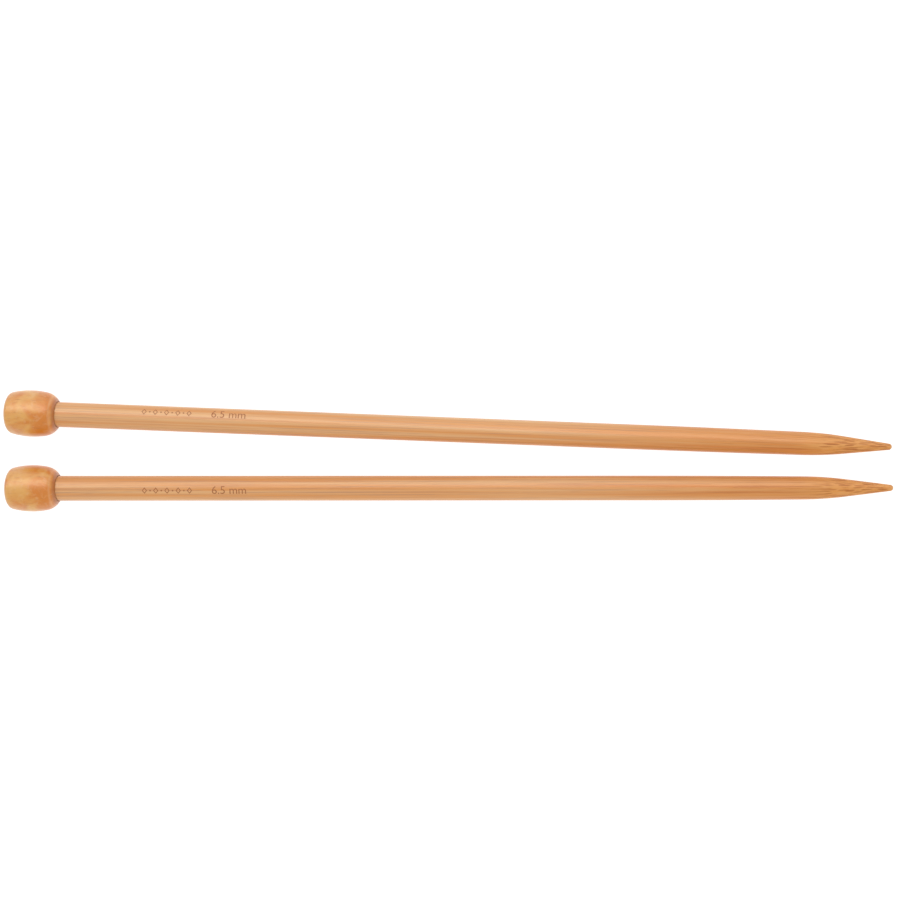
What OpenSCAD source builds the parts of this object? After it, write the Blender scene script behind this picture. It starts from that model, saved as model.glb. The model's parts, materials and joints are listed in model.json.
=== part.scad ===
// A pair of straight knitting needles: two turned bamboo shafts, each pointed at one end,
// with a barrel-shaped wooden knob glued over the other end.
// Both needles lie on a flat surface at z = 0, with their points towards +X.

/* [Needle] */
// Working diameter of the shaft, which is the needle's size, mm
shaft_d = 6.5; // [6:0.25:7]
// Overall length, from the knob's end to the point's end, mm
needle_l = 231.5; // [180:0.5:360]

/* [Point] */
// Half angle of the point's cone, degrees
point_angle = 7; // [6:0.1:8]
// Radius of the rounded nose at the end of the point, mm
nose_r = 0.85; // [0.6:0.05:1]
// Radius of the rounded shoulder where the point begins, mm
shoulder_r = 100; // [60:1:110]
// Length of the slow taper between the full diameter and the shoulder, mm
lead_l = 45; // [20:0.5:50]
// Slope of the slow taper where it meets the shoulder, degrees
lead_angle = 0.5; // [0.2:0.1:0.7]

/* [Knob] */
// Largest diameter of the knob, mm
knob_d = 12.1; // [12:0.1:13]
// Length of the knob, mm
knob_l = 12.7; // [12:0.1:13]
// Radius of the knob's barrel curve, seen from the side, mm
barrel_r = 19.5; // [18:0.5:24]
// Distance from the knob's end to its largest diameter, mm
barrel_at = 6; // [5.5:0.1:6.5]
// Diameter of the flat face on the knob's closed end, mm
end_flat_d = 7.8; // [6.5:0.1:8.2]
// Radius of the knob's rounded edge around its mouth, mm
mouth_edge_r = 4.2; // [3.8:0.1:4.8]

/* [Glued joint] */
// Thickness of the knob's closed end, behind its bore, mm
knob_floor = 2.5; // [2:0.1:4]
// Step from the shaft's surface down to the knob's bore, mm
shaft_step = 0.25; // [0.2:0.05:0.5]
// Thickness of the glue film around the shaft's spigot, mm
glue_t = 0.1; // [0.05:0.05:0.2]
// Depth of the glue left between the spigot's end and the bore's bottom, mm
glue_pocket = 0.5; // [0.2:0.1:1]
// Chamfer on the spigot's hidden end, mm
spigot_chamfer = 0.4; // [0.2:0.1:0.6]
// Width of the open groove around the shaft at the knob's mouth, mm
mouth_gap = 0.2; // [0.1:0.05:0.3]

/* [Lay] */
// Distance between the two needles' axes at their knobs, mm
knob_spacing = 19.5; // [17:0.5:40]
// Distance between the two needles' axes at the ends of their points, mm
point_spacing = 10.8; // [9:0.1:40]
// Distance that the rear needle's knob lies behind the front one's, along the needles, mm
rear_back = 0.2; // [0:0.1:5]

/* [Hidden] */

// Straight steps in one rounded stretch of an outline
ARC_STEPS = 24;
// Straight steps in the slow taper, which is nearly flat
LEAD_STEPS = 8;
$fn = 96;

shaft_r = shaft_d / 2;
knob_r = knob_d / 2;
bore_r = shaft_r - shaft_step;
bore_mouth_r = shaft_r + mouth_gap;
// The bore's mouth is a 45 degree countersink, and the glue stops at its root.
bore_top = knob_l - (bore_mouth_r - bore_r);
spigot_r = bore_r - glue_t;
spigot_end = knob_floor + glue_pocket;

// Outlines are lists of [radius, distance from the knob's end], turned about the needle's axis.
// An arc's angle 0 points away from the axis, and 90 points towards the needle's point.
function polar(r, angle) = r * [cos(angle), sin(angle)];
function arc(centre, r, from, to, steps) =
    [for (i = [0:steps]) centre + polar(r, from + (to - from) * i / steps)];

// Along the needle: a slow taper leaves the cylinder, turns through the shoulder into a straight
// cone, and the cone runs into the round nose, all with no kink.
lead_r = lead_l / sin(lead_angle);
lead_end_r = shaft_r - lead_r * (1 - cos(lead_angle));
cone_start_r = lead_end_r - shoulder_r * (cos(lead_angle) - cos(point_angle));
cone_l = (cone_start_r - nose_r * cos(point_angle)) / sin(point_angle);
point_l = shoulder_r * (sin(point_angle) - sin(lead_angle))
    + cone_l * cos(point_angle) + nose_r * (1 - sin(point_angle));
point_from = needle_l - point_l;
lead_centre = [shaft_r - lead_r, point_from - lead_l];
shoulder_centre = [lead_end_r, point_from] - polar(shoulder_r, lead_angle);
nose_centre = [0, needle_l - nose_r];

// Each of the knob's rounded edges runs into the barrel curve. The one at the closed end comes
// from the flat face, and the one at the mouth is cut off at the rim of the bore.
barrel_centre = [knob_r - barrel_r, barrel_at];
end_r = (pow(barrel_r, 2) - pow(end_flat_d / 2 - barrel_centre.x, 2) - pow(barrel_at, 2))
    / (2 * (barrel_r - barrel_at));
end_centre = [end_flat_d / 2, end_r];
to_rim = [bore_mouth_r, knob_l] - barrel_centre;
mouth_reach = barrel_r - mouth_edge_r;
mouth_along = (pow(mouth_reach, 2) - pow(mouth_edge_r, 2) + pow(norm(to_rim), 2))
    / (2 * norm(to_rim));
mouth_across = sqrt(pow(mouth_reach, 2) - pow(mouth_along, 2));
mouth_centre = barrel_centre
    + (to_rim * mouth_along + [to_rim.y, -to_rim.x] * mouth_across) / norm(to_rim);
rim_angle = atan2(knob_l - mouth_centre.y, bore_mouth_r - mouth_centre.x);
function barrel_angle(edge_centre) =
    atan2(edge_centre.y - barrel_centre.y, edge_centre.x - barrel_centre.x);

// A needle at rest touches the surface with its knob's barrel curve and with its shoulder, or
// with its slow taper where the needle is long, so its axis slopes down towards the point.
function slope_on(centre, r) =
    let (gap = [centre.y - barrel_centre.y, barrel_centre.x - centre.x])
    atan2(gap.y, gap.x) - asin((r - barrel_r) / norm(gap));
shoulder_slope = slope_on(shoulder_centre, shoulder_r);
slope = shoulder_slope > lead_angle ? shoulder_slope : slope_on(lead_centre, lead_r);
knob_end_z = barrel_r + barrel_centre.x * cos(slope) + barrel_at * sin(slope);
laid_l = needle_l * cos(slope);
rear_turn = asin((point_spacing - knob_spacing) / (laid_l - barrel_at));

module shaft() {
    color("burlywood")
    rotate_extrude()
    polygon(concat(
        [
            [0, spigot_end],
            [spigot_r - spigot_chamfer, spigot_end],
            [spigot_r, spigot_end + spigot_chamfer],
            [spigot_r, knob_l],
            [shaft_r, knob_l]
        ],
        arc(lead_centre, lead_r, 0, lead_angle, LEAD_STEPS),
        arc(shoulder_centre, shoulder_r, lead_angle, point_angle, ARC_STEPS),
        arc(nose_centre, nose_r, point_angle, 90, ARC_STEPS)
    ));
}

module knob() {
    color("peru")
    rotate_extrude()
    polygon(concat(
        [[0, knob_floor], [0, 0]],
        arc(end_centre, end_r, -90, barrel_angle(end_centre), ARC_STEPS),
        arc(barrel_centre, barrel_r,
            barrel_angle(end_centre), barrel_angle(mouth_centre), ARC_STEPS),
        arc(mouth_centre, mouth_edge_r, barrel_angle(mouth_centre), rim_angle, ARC_STEPS),
        [[bore_r, bore_top], [bore_r, knob_floor]]
    ));
}

// The glue fills the bore around the spigot and behind its end.
module glue() {
    color("gold")
    rotate_extrude()
    polygon([
        [0, knob_floor],
        [bore_r, knob_floor],
        [bore_r, bore_top],
        [spigot_r, bore_top],
        [spigot_r, spigot_end + spigot_chamfer],
        [spigot_r - spigot_chamfer, spigot_end],
        [0, spigot_end]
    ]);
}

// Lays a needle down on its knob and its shoulder, with its knob's end over the origin.
module laid_down() {
    translate([0, 0, knob_end_z]) rotate([0, 90 + slope, 0]) children();
}

module place_front() {
    translate([(rear_back - laid_l) / 2, -knob_spacing / 2, 0]) laid_down() children();
}

// The rear needle is turned about its knob's largest diameter.
module place_rear() {
    translate([barrel_at - (rear_back + laid_l) / 2, knob_spacing / 2, 0])
    rotate([0, 0, rear_turn])
    translate([-barrel_at, 0, 0])
    laid_down() children();
}

place_front() shaft();  // front_shaft
place_front() glue();  // front_glue
place_front() knob();  // front_knob
place_rear() shaft();  // rear_shaft
place_rear() glue();  // rear_glue
place_rear() knob();  // rear_knob
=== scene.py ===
"""The looks of a pair of straight bamboo knitting needles: shafts and knobs turned from wood with
a real grain, the glue inside the knobs, and the small marks on the shafts. Lengths are in metres."""

import json
import math

import bmesh
import bpy
import numpy as np
from bpy.props import (
    FloatProperty,
    FloatVectorProperty,
    IntProperty,
    PointerProperty,
    StringProperty,
)
from mathutils import Matrix, Vector


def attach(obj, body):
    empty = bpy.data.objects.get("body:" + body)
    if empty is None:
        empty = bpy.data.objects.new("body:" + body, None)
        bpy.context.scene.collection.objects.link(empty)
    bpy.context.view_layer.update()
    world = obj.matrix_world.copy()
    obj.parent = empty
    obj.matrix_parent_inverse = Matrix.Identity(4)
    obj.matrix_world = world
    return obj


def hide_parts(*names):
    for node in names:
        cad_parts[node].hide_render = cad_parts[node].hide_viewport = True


bl_info = {
    "name": "Straight Knitting Needles",
    "version": (1, 0, 0),
    "blender": (4, 5, 0),
    "location": "View3D > Sidebar > Needles",
    "description": "Turns, marks and finishes a pair of straight bamboo knitting needles",
    "category": "Add Mesh",
}

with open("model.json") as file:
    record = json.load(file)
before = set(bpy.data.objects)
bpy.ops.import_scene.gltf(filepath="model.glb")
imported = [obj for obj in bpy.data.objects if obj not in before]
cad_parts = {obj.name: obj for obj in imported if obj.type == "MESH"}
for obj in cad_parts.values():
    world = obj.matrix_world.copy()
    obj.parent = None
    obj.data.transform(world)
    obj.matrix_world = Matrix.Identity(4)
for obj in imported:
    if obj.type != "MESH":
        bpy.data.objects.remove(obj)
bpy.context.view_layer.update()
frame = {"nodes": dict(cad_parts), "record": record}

MM = 0.001
SIDES = ("front", "rear")
# Which piece of wood each needle is cut from
GRAIN_SEEDS = {"front": 3.0, "rear": 5.0}
# Vertices closer than this are one vertex
WELD_DISTANCE = 0.0001 * MM
# Edges that bend more than this stay sharp
SHARP_ANGLE = math.radians(30)
# Smooth rim left round a knob's mouth, inside its grain
RIM_CLEAR = 0.05 * MM
# A lozenge's width for a height of 1
LOZENGE_WIDTH = 0.8
# How many strokes taller an open lozenge is than its hole, so that its walls are a stroke thick
LOZENGE_INSET = 3.0
DOT_SIDES = 16
MARK_SUBDIVISIONS = 3
# Length of a needle's point, in millimetres, for its colours
POINT_LENGTH = 24.0
# Half the width of the floor
FLOOR_HALF = 2.0
# The length of each light along the needles and its width, then its place. The softbox lights
# everything. The strip and the card show only as reflections, on the side away from the viewer.
SOFTBOX_SIZE = (0.8, 0.2)
SOFTBOX_AT = (0.0, 0.2, 0.5)
STRIP_SIZE = (1.6, 0.32)
STRIP_AT = (-0.35, 0.27, 0.46)
CARD_SIZE = (1.4, 0.5)
CARD_AT = (0.0, 0.6, 0.25)


# ---------------------------------------------------------------------------
# Where each needle lies
# ---------------------------------------------------------------------------


class Needle:
    """One needle's place and main sizes, read from the frame. Its own X axis starts at the knob's
    end and runs towards the point, and its own Z axis points up."""

    def __init__(self, side):
        self.side = side
        self.body = side + "_needle"
        mounts = frame["record"]["mounts"]
        pin = next(mount for mount in mounts if mount["name"] == side + "_shaft_pin")
        self.axis = Vector(pin["axis"]).normalized()
        self.through = Vector(pin["pos_m"])
        self.shaft_radius = pin["dims"]["r_mm"] * MM
        knob_start, knob_end, self.knob_radius = self.extent("knob")
        shaft_start, shaft_end, _ = self.extent("shaft")
        glue_start, glue_end, self.bore_radius = self.extent("glue")
        self.knob_length = knob_end - knob_start
        self.length = shaft_end - knob_start
        self.spigot_end = shaft_start - knob_start
        self.bore_floor = glue_start - knob_start
        self.bore_top = glue_end - knob_start
        up = Vector((0, 0, 1))
        up = (up - up.dot(self.axis) * self.axis).normalized()
        turned = Matrix((self.axis, up.cross(self.axis), up)).transposed()
        self.lay = Matrix.Translation(self.through + knob_start * self.axis) @ turned.to_4x4()

    def extent(self, piece):
        """The first and last distance along the axis, and the largest distance from it."""
        vertices = frame["nodes"][f"{self.side}_{piece}"].data.vertices
        points = np.array([vertex.co - self.through for vertex in vertices])
        along = points @ np.array(self.axis)
        away = np.linalg.norm(points - np.outer(along, self.axis), axis=1)
        return float(along.min()), float(along.max()), float(away.max())


NEEDLES = {side: Needle(side) for side in SIDES}


# ---------------------------------------------------------------------------
# Node trees
# ---------------------------------------------------------------------------


class Wire:
    """An output of a node in a tree. Arithmetic on wires and numbers adds Math nodes."""

    def __init__(self, tree, socket=None):
        self.tree = tree
        self.socket = socket

    def __getitem__(self, name):
        """Another output of the same node."""
        outputs = self.socket.node.outputs
        return Wire(self.tree, next(o for o in outputs if o.name == name and o.enabled))

    def node(self, kind, settings=None, inputs=None):
        """Adds a node and returns its first output in use."""
        made = self.tree.nodes.new(kind)
        for name, value in (settings or {}).items():
            setattr(made, name, value)
        for name, value in (inputs or {}).items():
            if isinstance(name, int):
                socket = made.inputs[name]
            else:
                socket = next(i for i in made.inputs if i.name == name and i.enabled)
            if isinstance(value, Wire):
                self.tree.links.new(value.socket, socket)
            else:
                socket.default_value = value
        outputs = [output for output in made.outputs if output.enabled]
        return Wire(self.tree, outputs[0]) if outputs else None

    def math(self, operation, *values):
        settings = {"operation": operation}
        return self.node("ShaderNodeMath", settings, dict(enumerate(values)))

    def __add__(self, other):
        return self.math("ADD", self, other)

    def __sub__(self, other):
        return self.math("SUBTRACT", self, other)

    def __mul__(self, other):
        return self.math("MULTIPLY", self, other)

    def __truediv__(self, other):
        return self.math("DIVIDE", self, other)

    def __pow__(self, other):
        return self.math("POWER", self, other)


def smooth(value, low, high):
    """0 up to low and 1 from high, with a smooth step between, or falling where high < low."""
    settings = {"interpolation_type": "SMOOTHSTEP"}
    if high > low:
        inputs = {"Value": value, "From Min": low, "From Max": high}
    else:
        inputs = {"Value": value, "From Min": high, "From Max": low, "To Min": 1.0, "To Max": 0.0}
    return value.node("ShaderNodeMapRange", settings, inputs)


def opaque(colour):
    return (*colour, 1.0)


def painted(colour, *coats):
    """Lays coats over a colour, first to last. A coat is how much of it shows and its colour, and
    colours are wires or plain."""
    for shown, coat in coats:
        under, over = (
            each if isinstance(each, Wire) else opaque(each) for each in (colour, coat)
        )
        inputs = {"Factor": shown, "A": under, "B": over}
        colour = shown.node("ShaderNodeMix", {"data_type": "RGBA"}, inputs)
    return colour


def split(vector):
    """The three coordinates of a vector wire."""
    parts = vector.node("ShaderNodeSeparateXYZ", None, {"Vector": vector})
    return parts, parts["Y"], parts["Z"]


def join(along, across, up):
    start = next(part for part in (along, across, up) if isinstance(part, Wire))
    return start.node("ShaderNodeCombineXYZ", None, {"X": along, "Y": across, "Z": up})


def noise(point, detail=2.0, roughness=0.5, distortion=0.0):
    inputs = {
        "Vector": point,
        "Scale": 1.0,
        "Detail": detail,
        "Roughness": roughness,
        "Distortion": distortion,
    }
    return point.node("ShaderNodeTexNoise", None, inputs)


# ---------------------------------------------------------------------------
# Grain, the same in the turned surfaces and in the materials. Points are in millimetres, in the
# needle's own frame, and seed picks another piece of wood.
# ---------------------------------------------------------------------------


def bamboo_bundles(point, seed):
    """The bundles of dark fibres that run along a bamboo shaft: 1 inside one, 0 between them.
    The shaft's surface shows them as long streaks, and the cut face of its point as dashes."""
    along, across, up = split(point)
    # The point's cone cuts below the skin, where the bundles are thicker and don't fade.
    skin, core = 3.1, 2.75
    deep = smooth((across * across + up * up) ** 0.5, skin, core)
    per_mm, wandering, rippling = 1.75, 1.5, 0.3
    wander = noise(join(along * 0.018 + seed, across * 0.2, up * 0.2), detail=2.0)["Color"]
    wander_across, wander_up, _ = split(wander)
    ripple = noise(join(along * 0.22, across * 0.5 + seed, up * 0.5), detail=1.0)["Color"]
    ripple_across, ripple_up, _ = split(ripple)
    cell_across = across + wander_across * wandering + ripple_across * rippling
    cell_up = up + wander_up * wandering + ripple_up * rippling
    cell = join(cell_across * per_mm + seed * 7.0, cell_up * per_mm + seed * 3.0, 0.0)
    inputs = {"Vector": cell, "Scale": 1.0, "Randomness": 0.9}
    cells = point.node("ShaderNodeTexVoronoi", {"voronoi_dimensions": "2D"}, inputs)
    strength, phase, _ = split(cells["Color"])
    fade = smooth(noise(join(along * 0.028, phase * 40.0, seed), detail=1.0), 0.4, 0.6)
    shown = fade.math("MAXIMUM", fade, deep * 0.95) * 0.85 + 0.15
    rim, middle = 0.28, 0.14
    return smooth(cells - deep * 0.13, rim, middle) * (strength * 0.6 + 0.4) * shown


def bamboo_fibres(point, seed):
    """The fine fibres between the bundles, from 0 to 1."""
    along, across, up = split(point)
    return noise(join(along * 0.03, across * 2.8 + seed, up * 2.8), detail=3.0, roughness=0.7)


def hardwood_grain(point, seed):
    """The grain of a turned knob, from 0 to 1: fine lines that run roughly along it."""
    along, across, up = split(point)
    sway = noise(join(along * 0.16 + seed, across * 0.16, up * 0.16), detail=2.0)
    lines = join(along * 0.4 + seed, across * 2.6 + sway * 5.0, up * 2.6 + sway * 3.0)
    return noise(lines, detail=4.0, roughness=0.62)


# ---------------------------------------------------------------------------
# Outlines: lists of (distance along the needle, distance from its axis)
# ---------------------------------------------------------------------------


def polar(radius, angle):
    """Angle 0 points away from the axis, and a quarter turn points along the needle."""
    return Vector((math.sin(angle), math.cos(angle))) * radius


def round_stretch(centre, radius, start, end, spacing):
    steps = max(2, math.ceil(radius * abs(end - start) / spacing))
    turns = [start + (end - start) * step / steps for step in range(steps + 1)]
    return [centre + polar(radius, turn) for turn in turns]


def straight_stretch(start, end, spacing):
    start, end = Vector(start), Vector(end)
    steps = max(1, math.ceil((end - start).length / spacing))
    return [start.lerp(end, step / steps) for step in range(steps + 1)]


def outline(*stretches):
    """Joins stretches whose ends meet."""
    points = list(stretches[0])
    for stretch in stretches[1:]:
        points += stretch[1:]
    return points


def straight_path(corners, spacing):
    """Straight stretches from corner to corner."""
    return outline(
        *(straight_stretch(start, end, spacing) for start, end in zip(corners, corners[1:]))
    )


def shaft_outline(needle, sizes):
    """From the spigot's end, inside the knob, over the shaft and its point to the nose."""
    point_angle, taper_angle = sizes.point_angle, sizes.taper_angle
    nose, shoulder = sizes.nose_radius, sizes.shoulder_radius
    taper_radius = sizes.taper_length / math.sin(taper_angle)
    taper_end = needle.shaft_radius - taper_radius * (1 - math.cos(taper_angle))
    cone_start = taper_end - shoulder * (math.cos(taper_angle) - math.cos(point_angle))
    cone_length = (cone_start - nose * math.cos(point_angle)) / math.sin(point_angle)
    point_length = (
        shoulder * (math.sin(point_angle) - math.sin(taper_angle))
        + cone_length * math.cos(point_angle)
        + nose * (1 - math.sin(point_angle))
    )
    point_start = needle.length - point_length
    taper_start = point_start - sizes.taper_length
    taper_centre = Vector((taper_start, needle.shaft_radius - taper_radius))
    shoulder_centre = Vector((point_start, taper_end)) - polar(shoulder, taper_angle)
    nose_centre = Vector((needle.length - nose, 0))
    spigot = needle.bore_radius - sizes.glue_film
    chamfer = sizes.spigot_chamfer
    hidden, shown, point, round_end = 1.5 * MM, 0.5 * MM, 0.33 * MM, 0.12 * MM
    spigot_corners = (
        (needle.spigot_end, 0),
        (needle.spigot_end, spigot - chamfer),
        (needle.spigot_end + chamfer, spigot),
        (needle.knob_length, spigot),
        (needle.knob_length, needle.shaft_radius),
    )
    return outline(
        straight_path(spigot_corners, hidden),
        straight_stretch(
            (needle.knob_length, needle.shaft_radius), (taper_start, needle.shaft_radius), shown
        ),
        round_stretch(taper_centre, taper_radius, 0, taper_angle, shown),
        round_stretch(shoulder_centre, shoulder, taper_angle, point_angle, point),
        straight_stretch(
            shoulder_centre + polar(shoulder, point_angle),
            nose_centre + polar(nose, point_angle),
            point,
        ),
        round_stretch(nose_centre, nose, point_angle, math.pi / 2, round_end),
    )


def knob_outline(needle, sizes):
    """From the middle of the closed end, over the barrel, into the mouth and down the bore."""
    barrel, widest = sizes.barrel_radius, sizes.barrel_at
    barrel_centre = Vector((widest, needle.knob_radius - barrel))

    def meeting_angle(edge_centre):
        gap = edge_centre - barrel_centre
        return math.atan2(gap.x, gap.y)

    away = sizes.end_flat / 2 - barrel_centre.y
    end_edge = (barrel**2 - away**2 - widest**2) / (2 * (barrel - widest))
    end_centre = Vector((end_edge, sizes.end_flat / 2))

    # The mouth's rounded edge leaves the barrel curve and is cut off at the rim of the bore.
    rim = Vector((needle.knob_length, needle.shaft_radius + sizes.mouth_gap))
    to_rim = rim - barrel_centre
    gap, reach = to_rim.length, barrel - sizes.mouth_edge
    out = (reach**2 - sizes.mouth_edge**2 + gap**2) / (2 * gap)
    aside = math.sqrt(reach**2 - out**2)
    mouth_centre = barrel_centre + (to_rim * out + Vector((-to_rim.y, to_rim.x)) * aside) / gap
    at_rim = rim - mouth_centre
    end_angle, mouth_angle = meeting_angle(end_centre), meeting_angle(mouth_centre)
    rim_angle = math.atan2(at_rim.x, at_rim.y)
    bore_mouth, bore_floor = needle.bore_top, needle.bore_floor
    bore = needle.bore_radius
    shown, hidden = 0.11 * MM, 1.2 * MM
    return outline(
        straight_stretch((0, 0), (0, end_centre.y), 2 * shown),
        round_stretch(end_centre, end_edge, -math.pi / 2, end_angle, shown),
        round_stretch(barrel_centre, barrel, end_angle, mouth_angle, shown),
        round_stretch(mouth_centre, sizes.mouth_edge, mouth_angle, rim_angle, shown),
        straight_stretch(rim, (bore_mouth, bore), 2 * shown),
        straight_path(((bore_mouth, bore), (bore_floor, bore), (bore_floor, 0)), hidden),
    )


# ---------------------------------------------------------------------------
# Geometry Nodes
# ---------------------------------------------------------------------------


def new_tree(name, **inputs):
    """A Geometry Nodes tree with named inputs, and a wire for each."""
    tree = bpy.data.node_groups.new(name, "GeometryNodeTree")
    face = tree.interface
    face.new_socket("Geometry", in_out="OUTPUT", socket_type="NodeSocketGeometry")
    face.new_socket("Geometry", in_out="INPUT", socket_type="NodeSocketGeometry")
    for label, kind in inputs.items():
        face.new_socket(label.replace("_", " "), in_out="INPUT", socket_type="NodeSocket" + kind)
    start = tree.nodes.new("NodeGroupInput")
    wires = {output.name: Wire(tree, output) for output in start.outputs if output.name}
    return tree, wires


def end_tree(tree, geometry, material):
    """Ends a tree in plain faces of one material."""
    geometry = geometry.node("GeometryNodeRealizeInstances", None, {0: geometry})
    inputs = {"Geometry": geometry, "Material": material}
    geometry = geometry.node("GeometryNodeSetMaterial", None, inputs)
    finish = tree.nodes.new("NodeGroupOutput")
    tree.links.new(geometry.socket, finish.inputs[0])


def sine(angle):
    return angle.math("SINE", angle)


def cosine(angle):
    return angle.math("COSINE", angle)


def scaled(vector, factor):
    return vector.node("ShaderNodeVectorMath", {"operation": "SCALE"}, {0: vector, "Scale": factor})


def lathe_tree(name, relief_at):
    """Turns an outline about the needle's axis. Its grain sinks into the surface, from Relief From
    on and outside Relief Clear, to Relief Depth where relief_at(point, seed) is 1."""
    tree, given = new_tree(
        name,
        Steps_Around="Int",
        Relief_Depth="Float",
        Relief_From="Float",
        Relief_Clear="Float",
        Seed="Float",
        Finish="Material",
    )
    drawn = given["Geometry"]
    position = drawn.node("GeometryNodeInputPosition")
    count = drawn.node("GeometryNodeAttributeDomainSize", None, {"Geometry": drawn})
    columns = given["Steps Around"] + 1.0
    grid = drawn.node("GeometryNodeMeshGrid", None, {"Vertices X": count, "Vertices Y": columns})
    place, turn, _ = split(grid["UV Map"])
    index = place * (count - 1.0)
    inputs = {"Geometry": drawn, "Value": position, "Index": index.math("ROUND", index)}
    from_outline = drawn.node(
        "GeometryNodeSampleIndex", {"data_type": "FLOAT_VECTOR"}, inputs
    )
    along, away, _ = split(from_outline)
    angle = turn * -math.tau
    spun = join(along, away * cosine(angle), away * sine(angle))
    turned = grid.node("GeometryNodeSetPosition", None, {"Geometry": grid, "Position": spun})
    turned = welded(turned)

    along, across, up = split(position)
    away = (across * across + up * up) ** 0.5
    rough = along.math("GREATER_THAN", along, given["Relief From"])
    rough = rough * away.math("GREATER_THAN", away, given["Relief Clear"])
    depth = relief_at(scaled(position, 1 / MM), given["Seed"]) * rough * given["Relief Depth"]
    normal = turned.node("GeometryNodeInputNormal")
    inputs = {"Geometry": turned, "Offset": scaled(normal, depth * -1.0)}
    turned = turned.node("GeometryNodeSetPosition", None, inputs)

    bend = turned.node("GeometryNodeInputMeshEdgeAngle")
    sharp = bend.math("GREATER_THAN", bend, SHARP_ANGLE)
    inputs = {"Geometry": turned, "Selection": sharp, "Shade Smooth": False}
    turned = turned.node("GeometryNodeSetShadeSmooth", {"domain": "EDGE"}, inputs)
    end_tree(tree, turned, given["Finish"])
    return tree


def extruded(flat, thickness):
    """A closed plate of even thickness from flat faces."""
    straight_up = join(0.0, 0.0, thickness)
    inputs = {"Mesh": flat, "Offset": straight_up, "Individual": False}
    raised = flat.node("GeometryNodeExtrudeMesh", None, inputs)
    under = flat.node("GeometryNodeFlipFaces", None, {"Mesh": flat})
    return welded(gathered(raised, under))


def gathered(*parts):
    """Joins geometry."""
    joined = parts[0].tree.nodes.new("GeometryNodeJoinGeometry")
    for part in parts:
        part.tree.links.new(part.socket, joined.inputs[0])
    return Wire(parts[0].tree, joined.outputs[0])


def welded(geometry):
    inputs = {"Geometry": geometry, "Distance": WELD_DISTANCE}
    return geometry.node("GeometryNodeMergeByDistance", None, inputs)


def mark_tree():
    """A line of figures and a row of open lozenges with dots between them, wrapped round a shaft."""
    tree, given = new_tree(
        "Marks on a shaft",
        Figures="String",
        Figure_Size="Float",
        Figures_At="Float",
        Lozenges="Int",
        Lozenge_Pitch="Float",
        Lozenge_Height="Float",
        Stroke="Float",
        Lozenges_At="Float",
        Shaft_Radius="Float",
        Roll="Float",
        Thickness="Float",
        Proud="Float",
        Finish="Material",
    )
    start = given["Geometry"]
    figures = start.node(
        "GeometryNodeStringToCurves",
        {"align_x": "CENTER", "align_y": "MIDDLE"},
        {"String": given["Figures"], "Size": given["Figure Size"]},
    )
    figures = figures.node(
        "GeometryNodeTransform",
        None,
        {"Geometry": figures, "Translation": join(given["Figures At"], 0.0, 0.0)},
    )

    pitch, height, stroke = given["Lozenge Pitch"], given["Lozenge Height"], given["Stroke"]
    first = given["Lozenges At"] - (given["Lozenges"] - 1.0) * pitch * 0.5

    def row(shapes, count, start_at):
        inputs = {
            "Count": count,
            "Start Location": join(start_at, 0.0, 0.0),
            "Offset": join(pitch, 0.0, 0.0),
        }
        points = start.node("GeometryNodeMeshLine", None, inputs)
        inputs = {"Points": points, "Instance": shapes}
        return points.node("GeometryNodeInstanceOnPoints", None, inputs)

    def lozenge(tall):
        half = tall * 0.5
        inputs = {"Width": tall * LOZENGE_WIDTH, "Bottom Height": half, "Top Height": half}
        kind = {"mode": "KITE"}
        return start.node("GeometryNodeCurvePrimitiveQuadrilateral", kind, inputs)

    open_lozenge = gathered(lozenge(height), lozenge(height - stroke * LOZENGE_INSET))
    lozenges = row(open_lozenge, given["Lozenges"], first)
    dot = start.node(
        "GeometryNodeCurvePrimitiveCircle", None, {"Resolution": DOT_SIDES, "Radius": stroke}
    )
    dots = row(dot, given["Lozenges"] - 1.0, first + pitch * 0.5)

    curves = gathered(figures, lozenges, dots)
    curves = curves.node("GeometryNodeRealizeInstances", None, {0: curves})
    flat = curves.node("GeometryNodeFillCurve", {"mode": "TRIANGLES"}, {"Curve": curves})
    flat = flat.node("GeometryNodeSubdivideMesh", None, {"Mesh": flat, "Level": MARK_SUBDIVISIONS})
    plate = extruded(flat, given["Thickness"])

    along, across, up = split(plate.node("GeometryNodeInputPosition"))
    radius = given["Shaft Radius"] + given["Proud"] - given["Thickness"] + up
    angle = across / given["Shaft Radius"] + given["Roll"]
    wrapped = join(along, radius * sine(angle), radius * cosine(angle))
    plate = plate.node("GeometryNodeSetPosition", None, {"Geometry": plate, "Position": wrapped})
    end_tree(tree, plate, given["Finish"])
    return tree


def grown(name, drawn, tree, values):
    """Runs a tree on a drawn mesh and returns the plain mesh that it makes."""
    shape = bpy.data.objects.new(name, drawn)
    bpy.context.collection.objects.link(shape)
    modifier = shape.modifiers.new(tree.name, "NODES")
    modifier.node_group = tree
    for item in tree.interface.items_tree:
        if item.in_out == "INPUT" and item.name in values:
            modifier[item.identifier] = values[item.name]
    bpy.context.view_layer.update()
    done = shape.evaluated_get(bpy.context.evaluated_depsgraph_get())
    mesh = bpy.data.meshes.new_from_object(done)
    mesh.name = name
    shape.modifiers.clear()
    bpy.data.objects.remove(shape)
    return mesh


def add_piece(name, mesh, needle):
    """A finished piece, laid down where its needle lies and riding with it."""
    mesh.transform(needle.lay)
    piece = bpy.data.objects.new(name, mesh)
    bpy.context.collection.objects.link(piece)
    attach(piece, needle.body)
    return piece


def drawn_line(name, points):
    """A chain of edges in the plane of the needle's axis."""
    mesh = bpy.data.meshes.new(name)
    edges = [(index, index + 1) for index in range(len(points) - 1)]
    mesh.from_pydata([(point.x, point.y, 0) for point in points], edges, [])
    return mesh


# ---------------------------------------------------------------------------
# Materials
# ---------------------------------------------------------------------------


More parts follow.
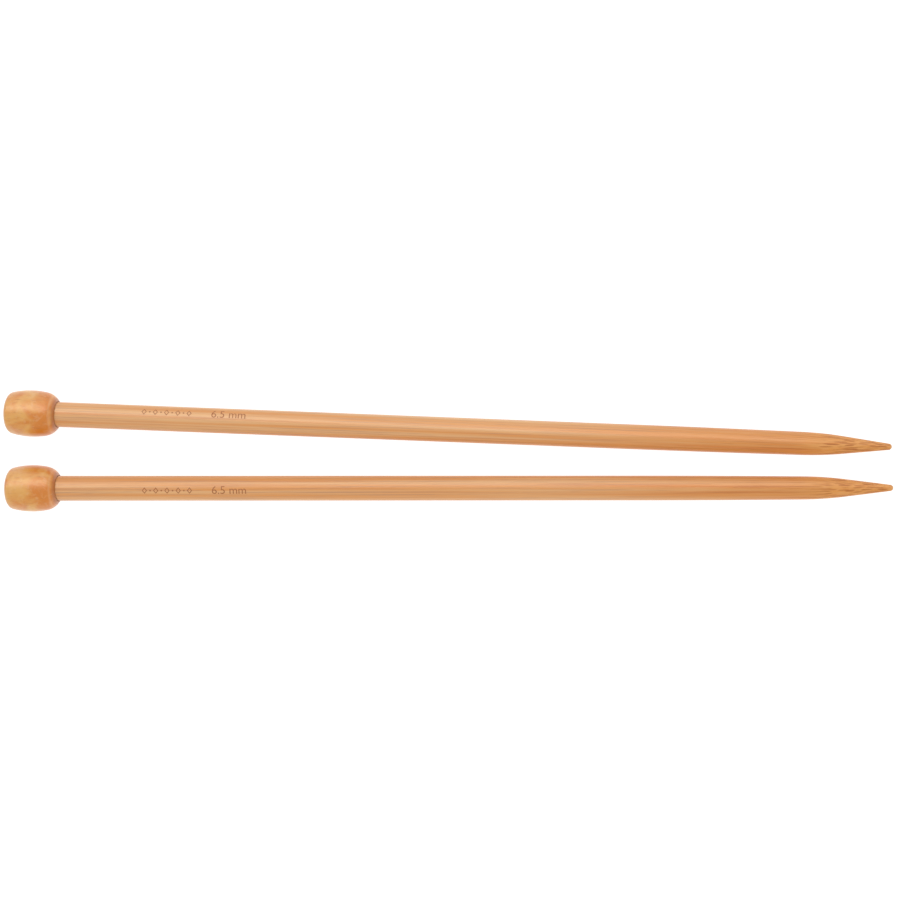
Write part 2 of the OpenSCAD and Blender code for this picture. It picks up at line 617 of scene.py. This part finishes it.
def new_material(name, needle):
    """A material, a wire for the point in the needle's own frame in millimetres, and the node
    that the rest feeds."""
    material = bpy.data.materials.new(name)
    material.use_nodes = True
    tree = material.node_tree
    tree.nodes.clear()
    start = Wire(tree)
    shader = start.node("ShaderNodeBsdfPrincipled")
    start.node("ShaderNodeOutputMaterial", None, {"Surface": shader})
    where = start.node("ShaderNodeTexCoord")["Object"]
    inputs = {
        "Vector": where,
        "Location": needle.lay.translation,
        "Rotation": needle.lay.to_euler(),
        "Scale": (MM, MM, MM),
    }
    point = start.node("ShaderNodeMapping", {"vector_type": "TEXTURE"}, inputs)
    return material, point, shader.socket.node


def feed(shader, name, value):
    """Links a wire to one of the shader's sockets, or sets a plain value on it."""
    if isinstance(value, Wire):
        value.tree.links.new(value.socket, shader.inputs[name])
    else:
        shader.inputs[name].default_value = value


def bump(height, distance, strength):
    inputs = {"Height": height, "Distance": distance, "Strength": strength}
    return height.node("ShaderNodeBump", None, inputs)


def bamboo_material(needle, finish, seed):
    """Pale honey bamboo with long darker fibres, more amber towards the point, and waxed."""
    material, point, shader = new_material(f"bamboo_{needle.side}", needle)
    along, across, up = split(point)
    bundles = bamboo_bundles(point, seed)
    fibres = bamboo_fibres(point, seed)
    bands = noise(join(along * 0.008 + seed, across * 0.85, up * 0.85), detail=2.0)
    streaks = noise(join(along * 0.014, across * 1.5 + seed * 5.0, up * 1.5), detail=1.0)
    past_shoulder = along - (needle.length / MM - POINT_LENGTH)
    amber = smooth(past_shoulder, -75.0, 5.0)
    cut = smooth(past_shoulder, -6.0, 8.0)
    # The pale nose: sanded paler wood, with a painted highlight for the glint at the very tip.
    nose = smooth(past_shoulder, POINT_LENGTH - 0.9, POINT_LENGTH - 0.2)

    dark = painted(finish.bamboo_mauve, (amber, finish.bamboo_fibre))
    colour = painted(
        finish.bamboo_pale,
        (smooth(bands, 0.36, 0.64), finish.bamboo_honey),
        (amber * 0.7, finish.bamboo_amber),
        (smooth(streaks, 0.52, 0.66) * (amber * 0.45 + 0.3), finish.bamboo_orange),
        (cut * 0.5, finish.bamboo_golden),
        (smooth(fibres, 0.5, 0.68) * 0.65, dark),
        (smooth(fibres, 0.46, 0.28) * 0.4, finish.bamboo_pale),
        (bundles * (cut * 0.35 + 0.6), dark),
        # Pale nose: partly sanded paler wood, partly a painted highlight.
        (nose * 0.75, finish.bamboo_pale),
    )
    feed(shader, "Base Color", colour)
    feed(shader, "Roughness", fibres * 0.16 + bundles * 0.1 + cut * 0.14 + 0.3)
    feed(shader, "Normal", bump(fibres + bundles, 0.02 * MM, 0.35))
    return material


def hardwood_material(needle, finish, seed):
    """Turned hardwood, stained golden and orange in blotches, with a soft lacquer."""
    material, point, shader = new_material(f"hardwood_{needle.side}", needle)
    along, across, up = split(point)
    grain = hardwood_grain(point, seed)
    blotches = noise(
        join(along * 0.16 + seed * 3.0, across * 0.22, up * 0.22), detail=3.0, distortion=0.6
    )
    curl = noise(join(along * 0.75 + seed, across * 0.5, up * 0.5), detail=2.0, distortion=1.2)
    away = (across * across + up * up) ** 0.5
    past_mouth = along - needle.knob_length / MM
    stained = smooth(past_mouth, -8.0, -2.0) * 0.14
    # A dark ring right at the mouth: painted shade where the knob meets the shaft, with some stain.
    mouth = smooth(past_mouth, -0.9, -0.2)
    # A pale ring a little way back from the mouth, all round the knob: a painted highlight, standing in for
    # the reflection on the mouth's rounded edge.
    painted_highlight_ring = smooth(past_mouth, -1.5, -1.1) * smooth(past_mouth, -0.7, -1.1)
    end = smooth(along, 1.2, 0.1) * smooth(away, 1.0, 4.0)

    colour = painted(
        finish.knob_golden,
        (smooth(blotches + stained, 0.4, 0.7), finish.knob_orange),
        (smooth(curl, 0.5, 0.75) * 0.35, finish.knob_pale),
        (smooth(grain, 0.5, 0.8) * 0.45, finish.knob_dark),
        # Painted highlight ring by the mouth.
        (painted_highlight_ring * 0.3, finish.knob_pale),
        # Painted shade round the mouth, and the darker closed end.
        (mouth * 0.8 + end * 0.3, finish.knob_dark),
    )
    feed(shader, "Base Color", colour)
    feed(shader, "Roughness", grain * 0.2 + 0.34)
    feed(shader, "Normal", bump(grain, 0.03 * MM, 0.25))
    feed(shader, "Specular IOR Level", 0.3)
    feed(shader, "Coat Weight", 0.8)
    feed(shader, "Coat Roughness", 0.3)
    return material


def glue_material(needle, finish):
    """Dried wood glue: amber and cloudy, with small bubbles."""
    material, point, shader = new_material(f"glue_{needle.side}", needle)
    cloud = noise(scaled(point, 1.1), detail=3.0)
    bubbles = point.node("ShaderNodeTexVoronoi", None, {"Vector": point, "Scale": 3.5})
    colour = painted(finish.glue, (smooth(cloud, 0.35, 0.7), finish.bamboo_fibre))
    feed(shader, "Base Color", colour)
    feed(shader, "Roughness", cloud * 0.3 + 0.15)
    feed(shader, "Normal", bump(smooth(bubbles, 0.3, 0.1), 0.05 * MM, 0.4))
    return material


def mark_material(needle, finish, seed):
    """The brown of a burnt mark, uneven where the fibres took it."""
    material, point, shader = new_material(f"burnt_mark_{needle.side}", needle)
    fibres = bamboo_fibres(point, seed)
    speckle = noise(scaled(point, 3.0), detail=2.0)
    uneven = smooth(fibres * 0.5 + speckle * 0.5, 0.35, 0.7)
    feed(shader, "Base Color", painted(finish.mark, (uneven, finish.bamboo_fibre)))
    feed(shader, "Roughness", speckle * 0.2 + 0.55)
    feed(shader, "Normal", bump(speckle, 0.01 * MM, 0.3))
    return material


# ---------------------------------------------------------------------------
# Settings
# ---------------------------------------------------------------------------


def length_setting(name, description, default, smallest=0.0):
    return FloatProperty(
        name=name,
        description=description,
        default=default,
        min=smallest,
        precision=5,
        subtype="DISTANCE",
        unit="LENGTH",
    )


def angle_setting(name, description, degrees):
    return FloatProperty(
        name=name,
        description=description,
        default=math.radians(degrees),
        subtype="ANGLE",
        unit="ROTATION",
    )


def colour_setting(name, description, default):
    return FloatVectorProperty(
        name=name, description=description, default=default, min=0, max=1, size=3, subtype="COLOR"
    )


def power_setting(name, description, default):
    return FloatProperty(name=name, description=description, default=default, unit="POWER")


def brightness_setting(name, description, default):
    return FloatProperty(name=name, description=description, default=default, min=0)


def count_setting(name, description, default, smallest):
    return IntProperty(name=name, description=description, default=default, min=smallest)


class NeedleSizes(bpy.types.PropertyGroup):
    """Sizes that the frame doesn't state."""

    point_angle: angle_setting("Point half angle", "Half angle of the point's cone", 7)
    nose_radius: length_setting("Nose radius", "Round nose at the end of the point", 0.85 * MM)
    shoulder_radius: length_setting("Shoulder radius", "Round shoulder where the point begins", 100 * MM)
    taper_length: length_setting("Taper length", "Slow taper ahead of the shoulder", 45 * MM)
    taper_angle: angle_setting("Taper angle", "Slope of the slow taper at the shoulder", 0.5)
    glue_film: length_setting("Glue film", "Thickness of the glue round the spigot", 0.1 * MM)
    spigot_chamfer: length_setting("Spigot chamfer", "Chamfer on the spigot's hidden end", 0.4 * MM)
    barrel_radius: length_setting("Barrel radius", "Radius of the knob's curve from the side", 19.5 * MM)
    barrel_at: length_setting("Widest at", "Distance from the knob's end to its widest", 6 * MM)
    end_flat: length_setting("End flat", "Diameter of the flat on the knob's closed end", 7.8 * MM)
    mouth_edge: length_setting("Mouth edge", "Radius of the rounded edge round the knob's mouth", 4.2 * MM)
    mouth_gap: length_setting("Mouth gap", "Width of the groove round the shaft at the mouth", 0.2 * MM)
    shaft_relief: length_setting("Shaft relief", "Depth of the fibres in the shaft", 0.012 * MM)
    knob_relief: length_setting("Knob relief", "Depth of the grain in the knob", 0.015 * MM)
    shaft_steps: count_setting("Shaft steps", "Faces round a shaft", 180, 12)
    knob_steps: count_setting("Knob steps", "Faces round a knob", 280, 12)


class MarkSizes(bpy.types.PropertyGroup):
    """The small marks on each shaft."""

    figures: StringProperty(
        name="Figures",
        description="The needle's size, which is all that is written",
        default="6.5 mm",
    )
    figure_size: length_setting("Figure size", "Height of a line of figures", 3.0 * MM)
    figures_at: length_setting("Figures at", "Distance of the figures from the knob's end", 57.5 * MM)
    lozenges: count_setting("Lozenges", "Lozenges in the row", 5, 1)
    lozenge_pitch: length_setting("Lozenge pitch", "Distance between lozenges", 2.9 * MM)
    lozenge_height: length_setting("Lozenge height", "Height of a lozenge", 1.7 * MM)
    stroke: length_setting("Stroke", "Width of the lines", 0.22 * MM)
    lozenges_at: length_setting("Lozenges at", "Distance of the row from the knob's end", 41.5 * MM)
    thickness: length_setting("Thickness", "Thickness of the burnt layer", 0.06 * MM)
    proud: length_setting("Proud", "How far the burnt layer stands out", 0.004 * MM)
    front_roll: angle_setting("Front roll", "Turn of the front needle's marks about its axis", -9)
    rear_roll: angle_setting("Rear roll", "Turn of the rear needle's marks about its axis", 29)


class Finishes(bpy.types.PropertyGroup):
    """Colours of the wood, the glue and the marks."""

    # Also the pale of the nose, which is partly a painted highlight.
    bamboo_pale: colour_setting("Pale bamboo", "The palest bands of the shaft", (0.76, 0.42, 0.18))
    bamboo_honey: colour_setting("Honey bamboo", "The body colour of the shaft", (0.72, 0.30, 0.08))
    bamboo_amber: colour_setting("Amber bamboo", "The shaft's colour towards its point", (0.66, 0.24, 0.035))
    bamboo_golden: colour_setting("Golden bamboo", "The cut face of the point", (0.79, 0.36, 0.075))
    bamboo_orange: colour_setting("Orange bamboo", "The orange streaks", (0.64, 0.185, 0.015))
    bamboo_mauve: colour_setting("Mauve fibre", "The dark fibres by the knob", (0.5, 0.24, 0.12))
    bamboo_fibre: colour_setting("Bamboo fibre", "The dark fibres by the point", (0.43, 0.115, 0.008))
    knob_golden: colour_setting("Golden wood", "The paler blotches of the knob", (0.75, 0.37, 0.08))
    knob_orange: colour_setting("Orange wood", "The deeper blotches of the knob", (0.66, 0.2, 0.008))
    # Also the colour of the painted highlight ring by the knob's mouth.
    knob_pale: colour_setting("Pale wood", "The knob's pale figure", (0.76, 0.44, 0.2))
    # Also the colour of the painted shade round the knob's mouth.
    knob_dark: colour_setting("Dark wood", "The knob's grain and ends", (0.40, 0.12, 0.02))
    glue: colour_setting("Glue", "Dried wood glue", (0.62, 0.42, 0.16))
    mark: colour_setting("Mark", "The burnt marks", (0.36, 0.13, 0.045))


class StageSettings(bpy.types.PropertyGroup):
    """The camera, the light and the floor."""

    camera_height: length_setting("Camera height", "Camera's height above the floor", 308.5 * MM)
    camera_along: length_setting("Camera along", "Camera's place along X", -0.95 * MM, -1.0)
    camera_across: length_setting("Camera across", "Camera's place along Y", 0.23 * MM, -1.0)
    field_of_view: angle_setting("Field of view", "Camera's angle of view", 42.4)
    softbox_power: power_setting("Softbox power", "Power of the softbox", 0.35)
    strip_power: power_setting("Strip power", "Power of the strip in the finish", 4.8)
    card_power: power_setting("Card power", "Power of the card in the finish", 1.6)
    surround: brightness_setting("Surround", "Brightness of the white surroundings", 0.84)
    floor: colour_setting("Floor", "Colour of the floor", (0.3, 0.3, 0.3))
    floor_glow: brightness_setting("Floor glow", "Brightness of the light table under it", 0.9)


# ---------------------------------------------------------------------------
# Operators
# ---------------------------------------------------------------------------


class NEEDLES_OT_shafts(bpy.types.Operator):
    """Turn the two bamboo shafts, with their fibres"""

    bl_idname = "needles.shafts"
    bl_label = "Shafts"

    def execute(self, context):
        scene = context.scene
        sizes = scene.needle_sizes
        tree = lathe_tree("Turned bamboo", bamboo_bundles)
        for side, needle in NEEDLES.items():
            line = drawn_line(f"{side}_shaft_outline", shaft_outline(needle, sizes))
            material = bamboo_material(needle, scene.needle_finishes, GRAIN_SEEDS[side])
            values = {
                "Steps Around": sizes.shaft_steps,
                "Relief Depth": sizes.shaft_relief,
                "Relief From": needle.knob_length,
                "Relief Clear": 0.0,
                "Seed": GRAIN_SEEDS[side],
                "Finish": material,
            }
            mesh = grown(f"{side}_bamboo_shaft", line, tree, values)
            piece = add_piece(f"{side}_bamboo_shaft", mesh, needle)
            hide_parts(f"{side}_shaft")
        return {"FINISHED"}


class NEEDLES_OT_knobs(bpy.types.Operator):
    """Turn the two wooden knobs, each with its bore"""

    bl_idname = "needles.knobs"
    bl_label = "Knobs"

    def execute(self, context):
        scene = context.scene
        sizes = scene.needle_sizes
        tree = lathe_tree("Turned hardwood", hardwood_grain)
        for side, needle in NEEDLES.items():
            line = drawn_line(f"{side}_knob_outline", knob_outline(needle, sizes))
            material = hardwood_material(needle, scene.needle_finishes, GRAIN_SEEDS[side])
            values = {
                "Steps Around": sizes.knob_steps,
                "Relief Depth": sizes.knob_relief,
                "Relief From": -needle.knob_length,
                "Relief Clear": needle.shaft_radius + sizes.mouth_gap + RIM_CLEAR,
                "Seed": GRAIN_SEEDS[side],
                "Finish": material,
            }
            mesh = grown(f"{side}_turned_knob", line, tree, values)
            piece = add_piece(f"{side}_turned_knob", mesh, needle)
            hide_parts(f"{side}_knob")
        return {"FINISHED"}


class NEEDLES_OT_glue(bpy.types.Operator):
    """Give the glue inside the knobs its finish"""

    bl_idname = "needles.glue"
    bl_label = "Glue"

    def execute(self, context):
        for side, needle in NEEDLES.items():
            material = glue_material(needle, context.scene.needle_finishes)
            for material_slot in frame["nodes"][f"{side}_glue"].material_slots:
                material_slot.material = material
        return {"FINISHED"}


class NEEDLES_OT_marks(bpy.types.Operator):
    """Burn the size and a row of lozenges into each shaft"""

    bl_idname = "needles.marks"
    bl_label = "Marks"

    def execute(self, context):
        scene = context.scene
        sizes = scene.needle_marks
        rolls = {"front": sizes.front_roll, "rear": sizes.rear_roll}
        tree = mark_tree()
        for side, needle in NEEDLES.items():
            values = {
                "Figures": sizes.figures,
                "Figure Size": sizes.figure_size,
                "Figures At": sizes.figures_at,
                "Lozenges": sizes.lozenges,
                "Lozenge Pitch": sizes.lozenge_pitch,
                "Lozenge Height": sizes.lozenge_height,
                "Stroke": sizes.stroke,
                "Lozenges At": sizes.lozenges_at,
                "Shaft Radius": needle.shaft_radius,
                "Roll": rolls[side],
                "Thickness": sizes.thickness,
                "Proud": sizes.proud,
                "Finish": mark_material(needle, scene.needle_finishes, GRAIN_SEEDS[side]),
            }
            blank = bpy.data.meshes.new(f"{side}_mark_blank")
            mesh = grown(f"{side}_burnt_marks", blank, tree, values)
            add_piece(f"{side}_burnt_marks", mesh, needle)
        return {"FINISHED"}


class NEEDLES_OT_stage(bpy.types.Operator):
    """Set out the floor, the light and the camera"""

    bl_idname = "needles.stage"
    bl_label = "Stage"

    def execute(self, context):
        scene = context.scene
        stage = scene.needle_stage
        add_floor(stage)
        add_light("softbox", SOFTBOX_SIZE, SOFTBOX_AT, stage.softbox_power, True)
        add_light("strip", STRIP_SIZE, STRIP_AT, stage.strip_power, False)
        add_light("card", CARD_SIZE, CARD_AT, stage.card_power, False)
        add_surround(scene, stage)
        add_camera(scene, stage)
        scene.view_settings.view_transform = "Standard"
        return {"FINISHED"}


def add_floor(stage):
    """A plain matt light table, which takes the shadows away."""
    material = bpy.data.materials.new("floor")
    material.use_nodes = True
    shader = material.node_tree.nodes["Principled BSDF"]
    feed(shader, "Base Color", opaque(stage.floor))
    feed(shader, "Roughness", 0.9)
    feed(shader, "Specular IOR Level", 0.1)
    feed(shader, "Emission Color", (1.0, 1.0, 1.0, 1.0))
    feed(shader, "Emission Strength", stage.floor_glow)
    shape = bmesh.new()
    bmesh.ops.create_grid(shape, x_segments=1, y_segments=1, size=FLOOR_HALF)
    mesh = bpy.data.meshes.new("floor")
    shape.to_mesh(mesh)
    shape.free()
    mesh.materials.append(material)
    floor = bpy.data.objects.new("floor", mesh)
    bpy.context.collection.objects.link(floor)


def add_light(name, extent, place, power, lights_all):
    """A soft rectangular light that faces the X axis. A light that doesn't light all shows only
    as a reflection in the finish."""
    lamp = bpy.data.lights.new(name, "AREA")
    lamp.shape = "RECTANGLE"
    lamp.size, lamp.size_y = extent
    lamp.energy = power
    light = bpy.data.objects.new(name, lamp)
    light.location = place
    towards_axis = Vector((0.0, -place[1], -place[2]))
    light.rotation_euler = towards_axis.to_track_quat("-Z", "Y").to_euler()
    light.visible_diffuse = lights_all
    bpy.context.collection.objects.link(light)


def add_surround(scene, stage):
    """Even white surroundings."""
    world = bpy.data.worlds.new("surround")
    world.use_nodes = True
    background = world.node_tree.nodes["Background"]
    background.inputs["Color"].default_value = (1.0, 1.0, 1.0, 1.0)
    background.inputs["Strength"].default_value = stage.surround
    scene.world = world


def add_camera(scene, stage):
    """A camera that looks straight down."""
    data = bpy.data.cameras.new("camera")
    data.lens = data.sensor_width / 2 / math.tan(stage.field_of_view / 2)
    data.clip_start = 0.01
    camera = bpy.data.objects.new("camera", data)
    camera.location = (stage.camera_along, stage.camera_across, stage.camera_height)
    bpy.context.collection.objects.link(camera)
    scene.camera = camera


# ---------------------------------------------------------------------------
# Registration
# ---------------------------------------------------------------------------


class NEEDLES_PT_panel(bpy.types.Panel):
    """Lists the steps that make the needles"""

    bl_label = "Knitting Needles"
    bl_idname = "NEEDLES_PT_panel"
    bl_space_type = "VIEW_3D"
    bl_region_type = "UI"
    bl_category = "Needles"

    def draw(self, context):
        for step in STEPS:
            self.layout.operator(step.bl_idname)
        for group in SETTINGS:
            box = self.layout.box()
            settings = getattr(context.scene, group)
            for name in settings.__annotations__:
                box.prop(settings, name)


STEPS = (
    NEEDLES_OT_shafts,
    NEEDLES_OT_knobs,
    NEEDLES_OT_glue,
    NEEDLES_OT_marks,
    NEEDLES_OT_stage,
)
SETTINGS = {
    "needle_sizes": NeedleSizes,
    "needle_marks": MarkSizes,
    "needle_finishes": Finishes,
    "needle_stage": StageSettings,
}
CLASSES = (*SETTINGS.values(), *STEPS, NEEDLES_PT_panel)


def register():
    for kind in CLASSES:
        bpy.utils.register_class(kind)
    for name, group in SETTINGS.items():
        setattr(bpy.types.Scene, name, PointerProperty(type=group))


def unregister():
    for name in SETTINGS:
        delattr(bpy.types.Scene, name)
    for kind in reversed(CLASSES):
        bpy.utils.unregister_class(kind)


def main():
    register()
    bpy.ops.needles.shafts()
    bpy.ops.needles.knobs()
    bpy.ops.needles.glue()
    bpy.ops.needles.marks()
    bpy.ops.needles.stage()


if __name__ == "__main__":
    main()
